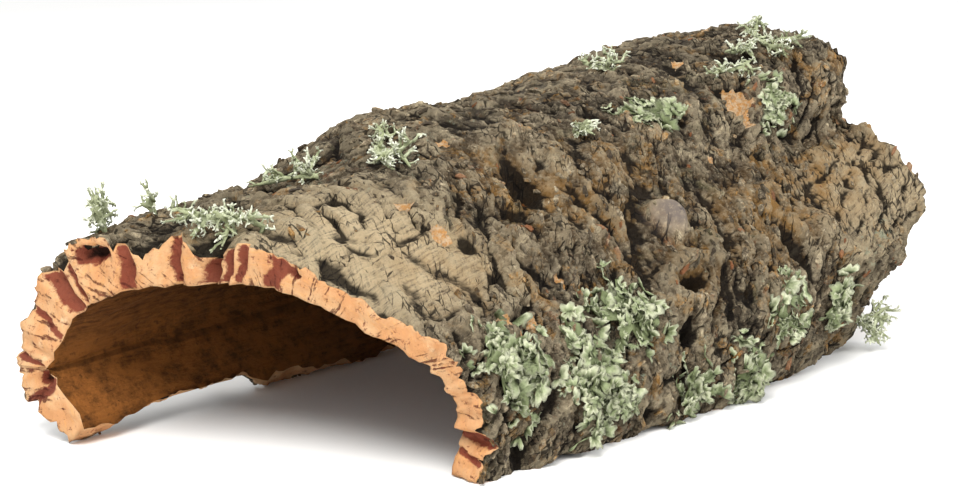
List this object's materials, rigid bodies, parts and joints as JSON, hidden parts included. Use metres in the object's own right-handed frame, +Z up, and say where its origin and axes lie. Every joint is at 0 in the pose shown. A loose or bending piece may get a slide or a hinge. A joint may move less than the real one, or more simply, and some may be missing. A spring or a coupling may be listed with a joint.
{
  "type": "cork bark slab",
  "caption": "Arched half-tube of virgin cork bark with lichens on it, lying on its two long edges as a hide or tunnel for a terrarium.",
  "frame": {"origin": "under the middle of the whole piece, on the ground it lies on", "axes": "+X along the tunnel from the sawn mouth to the broken back, +Y towards the left foot, +Z up"},
  "size_m": [0.42, 0.24, 0.1463],
  "materials": {
    "cork_bark": "rough dry bark, bare cork on the cut edges",
    "lichen_shrubby": "dry matte lichen",
    "lichen_leafy": "dry matte lichen"
  },
  "bodies": {
    "root": {"cork_bark": "cork_bark", "lichen_twig_corner": "lichen_shrubby", "lichen_twig_small": "lichen_shrubby", "lichen_mouth": "lichen_shrubby", "lichen_crest": "lichen_shrubby", "lichen_crown": "lichen_shrubby", "lichen_ridge": "lichen_shrubby", "lichen_back_top": "lichen_shrubby", "lichen_strand": "lichen_shrubby", "lichen_speck": "lichen_shrubby", "lichen_back_foot": "lichen_shrubby", "lichen_leaf_mouth": "lichen_leafy", "lichen_leaf_flank": "lichen_leafy", "lichen_leaf_high": "lichen_leafy", "lichen_leaf_chip": "lichen_leafy", "lichen_leaf_foot": "lichen_leafy", "lichen_leaf_low": "lichen_leafy", "lichen_leaf_hollow": "lichen_leafy", "lichen_leaf_back": "lichen_leafy", "lichen_leaf_crown": "lichen_leafy", "lichen_leaf_scar": "lichen_leafy"}
  },
  "joints": []
}
